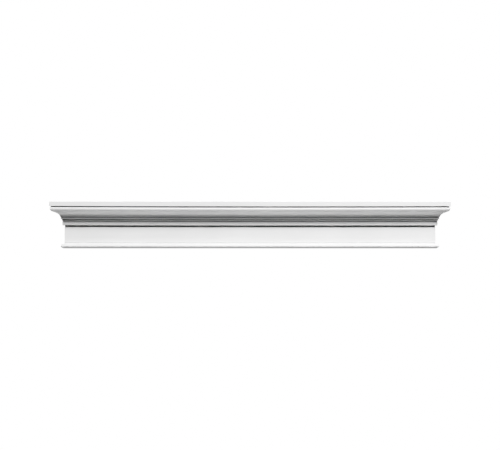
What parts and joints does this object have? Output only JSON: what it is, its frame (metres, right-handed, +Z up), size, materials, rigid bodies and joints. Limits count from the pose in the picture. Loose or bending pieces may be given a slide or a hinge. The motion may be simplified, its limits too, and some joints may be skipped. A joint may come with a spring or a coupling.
{
  "type": "crosshead pediment",
  "caption": "Straight flat-topped pediment, fixed to a wall over a door or window: a mitred crown moulding above a plain frieze and a small bottom trim.",
  "frame": {"origin": "middle of the flat back, in the plane of the wall, at half the length and half the height", "axes": "+X along the length to the right as seen from the front, +Y out of the back into the wall, +Z up"},
  "size_m": [1.2954, 0.0698, 0.1524],
  "materials": {
    "primed_foam": "rigid foam casting with a satin white factory primer, bare planed foam on the back"
  },
  "bodies": {
    "root": {"pediment": "primed_foam"}
  },
  "joints": []
}
